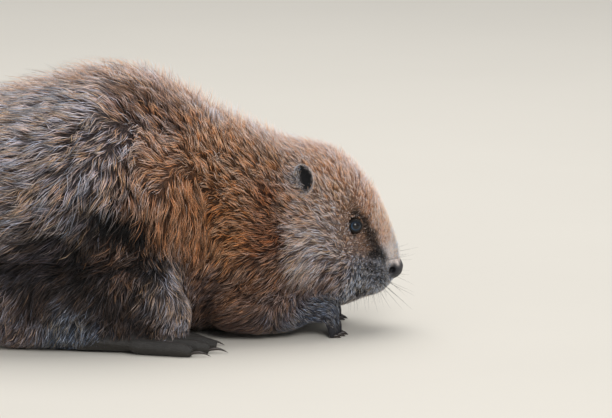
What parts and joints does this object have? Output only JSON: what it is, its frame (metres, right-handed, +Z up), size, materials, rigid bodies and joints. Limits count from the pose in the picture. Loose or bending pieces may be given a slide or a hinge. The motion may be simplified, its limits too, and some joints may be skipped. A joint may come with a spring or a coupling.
{
  "type": "beaver",
  "caption": "Life-size still beaver, crouched on the floor with its chin low, flat scaly tail behind, webbed hind feet and small arched forepaws.",
  "frame": {"origin": "on the floor, under the middle of the animal's bounding box", "axes": "+X the way the animal faces, nose forward and tail back; +Y its left; +Z up from the floor"},
  "size_m": [0.8442, 0.3308, 0.2645],
  "materials": {
    "back_fur": "long shaggy guard hair, grey-brown with pale tips",
    "fore_fur": "dense rust-brown fur",
    "face_fur": "short sleek fur, tan above and greyish below",
    "leg_fur": "short dark brown fur",
    "bare_skin": "dark grey bare skin, finely wrinkled",
    "tail_scale": "dark grey leathery scales",
    "claw": "smooth dark brown horn",
    "eye": "wet, glossy and nearly black"
  },
  "bodies": {
    "root": {"rump": "back_fur", "belly": "back_fur", "chest": "fore_fur", "neck": "fore_fur", "head": "face_fur", "snout": "face_fur", "lower_jaw": "face_fur", "nose": "bare_skin", "eye_right": "eye", "eye_left": "eye", "ear_right": "bare_skin", "ear_left": "bare_skin", "tail_root": "back_fur", "tail": "tail_scale", "thigh_right": "leg_fur", "shank_right": "leg_fur", "hindfoot_right": "bare_skin", "hindclaw_right_1": "claw", "hindclaw_right_2": "claw", "hindclaw_right_3": "claw", "hindclaw_right_4": "claw", "hindclaw_right_5": "claw", "forearm_right": "leg_fur", "forepaw_right": "bare_skin", "foreclaw_right_1": "claw", "foreclaw_right_2": "claw", "foreclaw_right_3": "claw", "foreclaw_right_4": "claw", "foreclaw_right_5": "claw", "thigh_left": "leg_fur", "shank_left": "leg_fur", "hindfoot_left": "bare_skin", "hindclaw_left_1": "claw", "hindclaw_left_2": "claw", "hindclaw_left_3": "claw", "hindclaw_left_4": "claw", "hindclaw_left_5": "claw", "forearm_left": "leg_fur", "forepaw_left": "bare_skin", "foreclaw_left_1": "claw", "foreclaw_left_2": "claw", "foreclaw_left_3": "claw", "foreclaw_left_4": "claw", "foreclaw_left_5": "claw"}
  },
  "joints": []
}
